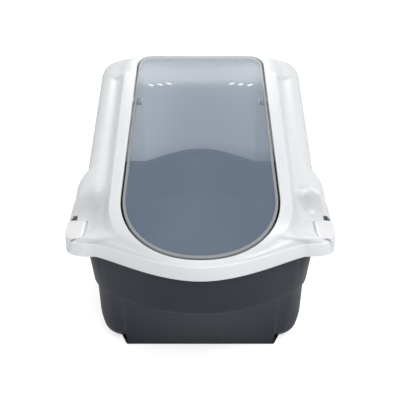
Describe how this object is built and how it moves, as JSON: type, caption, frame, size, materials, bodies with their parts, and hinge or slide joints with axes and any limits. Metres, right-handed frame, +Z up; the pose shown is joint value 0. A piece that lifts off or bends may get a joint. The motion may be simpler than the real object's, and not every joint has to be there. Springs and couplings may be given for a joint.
{
  "type": "hooded litter box",
  "caption": "Hooded cat litter box: dark tray, white clip-on hood, and a large see-through lid hinged in the sloping roof.",
  "frame": {"origin": "middle of the bounding box on the plane the tray stands on", "axes": "+X to the box's right as the nose faces the viewer's side -Y, +Y to the tail, +Z up"},
  "size_m": [0.406, 0.56, 0.3999],
  "materials": {
    "tray_plastic": "satin anthracite, injection moulded",
    "hood_plastic": "smooth white, injection moulded",
    "smoked_clear": "clear smoked pane with polished faces",
    "pin_plastic": "smooth white",
    "clip_plastic": "smooth white"
  },
  "bodies": {
    "tray": {"tray": "tray_plastic"},
    "hood": {"hood": "hood_plastic"},
    "lid": {"lid": "smoked_clear", "hinge_pin_left": "pin_plastic", "hinge_pin_right": "pin_plastic"},
    "clip_left": {"clip_left": "clip_plastic"},
    "clip_right": {"clip_right": "clip_plastic"}
  },
  "joints": [
    {"name": "hood_lift", "type": "slide", "parent": "tray", "child": "hood", "axis": [0, 0, 1], "range_m": [0, 0.12]},
    {"name": "lid_hinge", "type": "hinge", "parent": "hood", "child": "lid", "pos_m": [0, 0.074, 0.34401], "axis": [-1, 0, 0], "range_deg": [0, 85]},
    {"name": "clip_left_hinge", "type": "hinge", "parent": "hood", "child": "clip_left", "pos_m": [-0.17731, -0.17346, 0.21056], "axis": [0, 0.9828, 0.1847], "range_deg": [0, 75]},
    {"name": "clip_right_hinge", "type": "hinge", "parent": "hood", "child": "clip_right", "pos_m": [0.17731, -0.17346, 0.21056], "axis": [0, -0.9828, -0.1847], "range_deg": [0, 75]}
  ]
}
